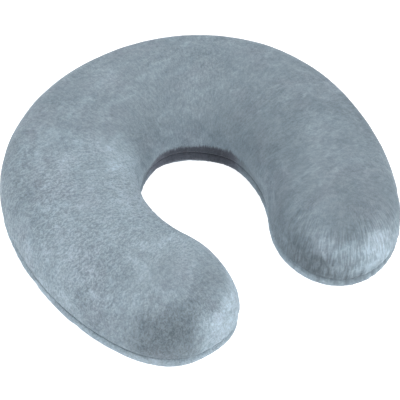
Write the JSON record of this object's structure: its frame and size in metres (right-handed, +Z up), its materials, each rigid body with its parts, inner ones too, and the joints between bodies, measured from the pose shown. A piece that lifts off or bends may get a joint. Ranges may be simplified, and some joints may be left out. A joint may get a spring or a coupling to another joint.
{
  "type": "u shaped neck pillow",
  "caption": "U shaped travel neck pillow: foam core in a knitted liner, inside a plush two-panel cover that closes with a coil zip round the back.",
  "frame": {"origin": "middle of the pillow's footprint, on the surface it lies on", "axes": "+Z up, +X to the right across the pillow, -Y out through the opening between the arms"},
  "size_m": [0.3098, 0.2894, 0.0755],
  "materials": {
    "foam": "soft open-cell foam",
    "liner_knit": "thin white jersey knit",
    "liner_thread": "overlock thread",
    "plush_top": "short-pile plush, blue grey",
    "plush_bottom": "short-pile plush, blue grey",
    "cover_thread": "matt polyester thread",
    "zip_tape": "woven tape",
    "zip_coil": "nylon coil",
    "slider_metal": "satin lacquer",
    "stop_metal": "satin",
    "label_satin": "white satin ribbon, blank"
  },
  "bodies": {
    "pillow": {"foam_core": "foam", "liner_upper": "liner_knit", "liner_lower": "liner_knit", "liner_seam_thread": "liner_thread", "cover_top": "plush_top", "cover_bottom": "plush_bottom", "cover_seam_thread": "cover_thread", "zip_tape_upper": "zip_tape", "zip_tape_lower": "zip_tape", "zip_coil_upper": "zip_coil", "zip_coil_lower": "zip_coil", "zip_stitching_upper": "cover_thread", "zip_stitching_lower": "cover_thread", "zip_top_stops": "stop_metal", "zip_bottom_stop": "stop_metal", "zip_bar_tacks": "cover_thread", "care_label": "label_satin"},
    "zip_slider": {"zip_slider_body": "slider_metal"},
    "zip_pull": {"zip_pull_tab": "slider_metal"}
  },
  "joints": [
    {"name": "zip_slide", "type": "hinge", "parent": "pillow", "child": "zip_slider", "pos_m": [0, -0.01431, 0.0275], "axis": [0, 0, 1], "range_deg": [0, 64.5], "deforming": ["zip_coil_upper", "zip_coil_lower"]},
    {"name": "zip_pull_swing", "type": "hinge", "parent": "zip_slider", "child": "zip_pull", "pos_m": [0.08542, 0.12187, 0.0275], "axis": [0, 0, 1], "range_deg": [-175, 0]}
  ]
}
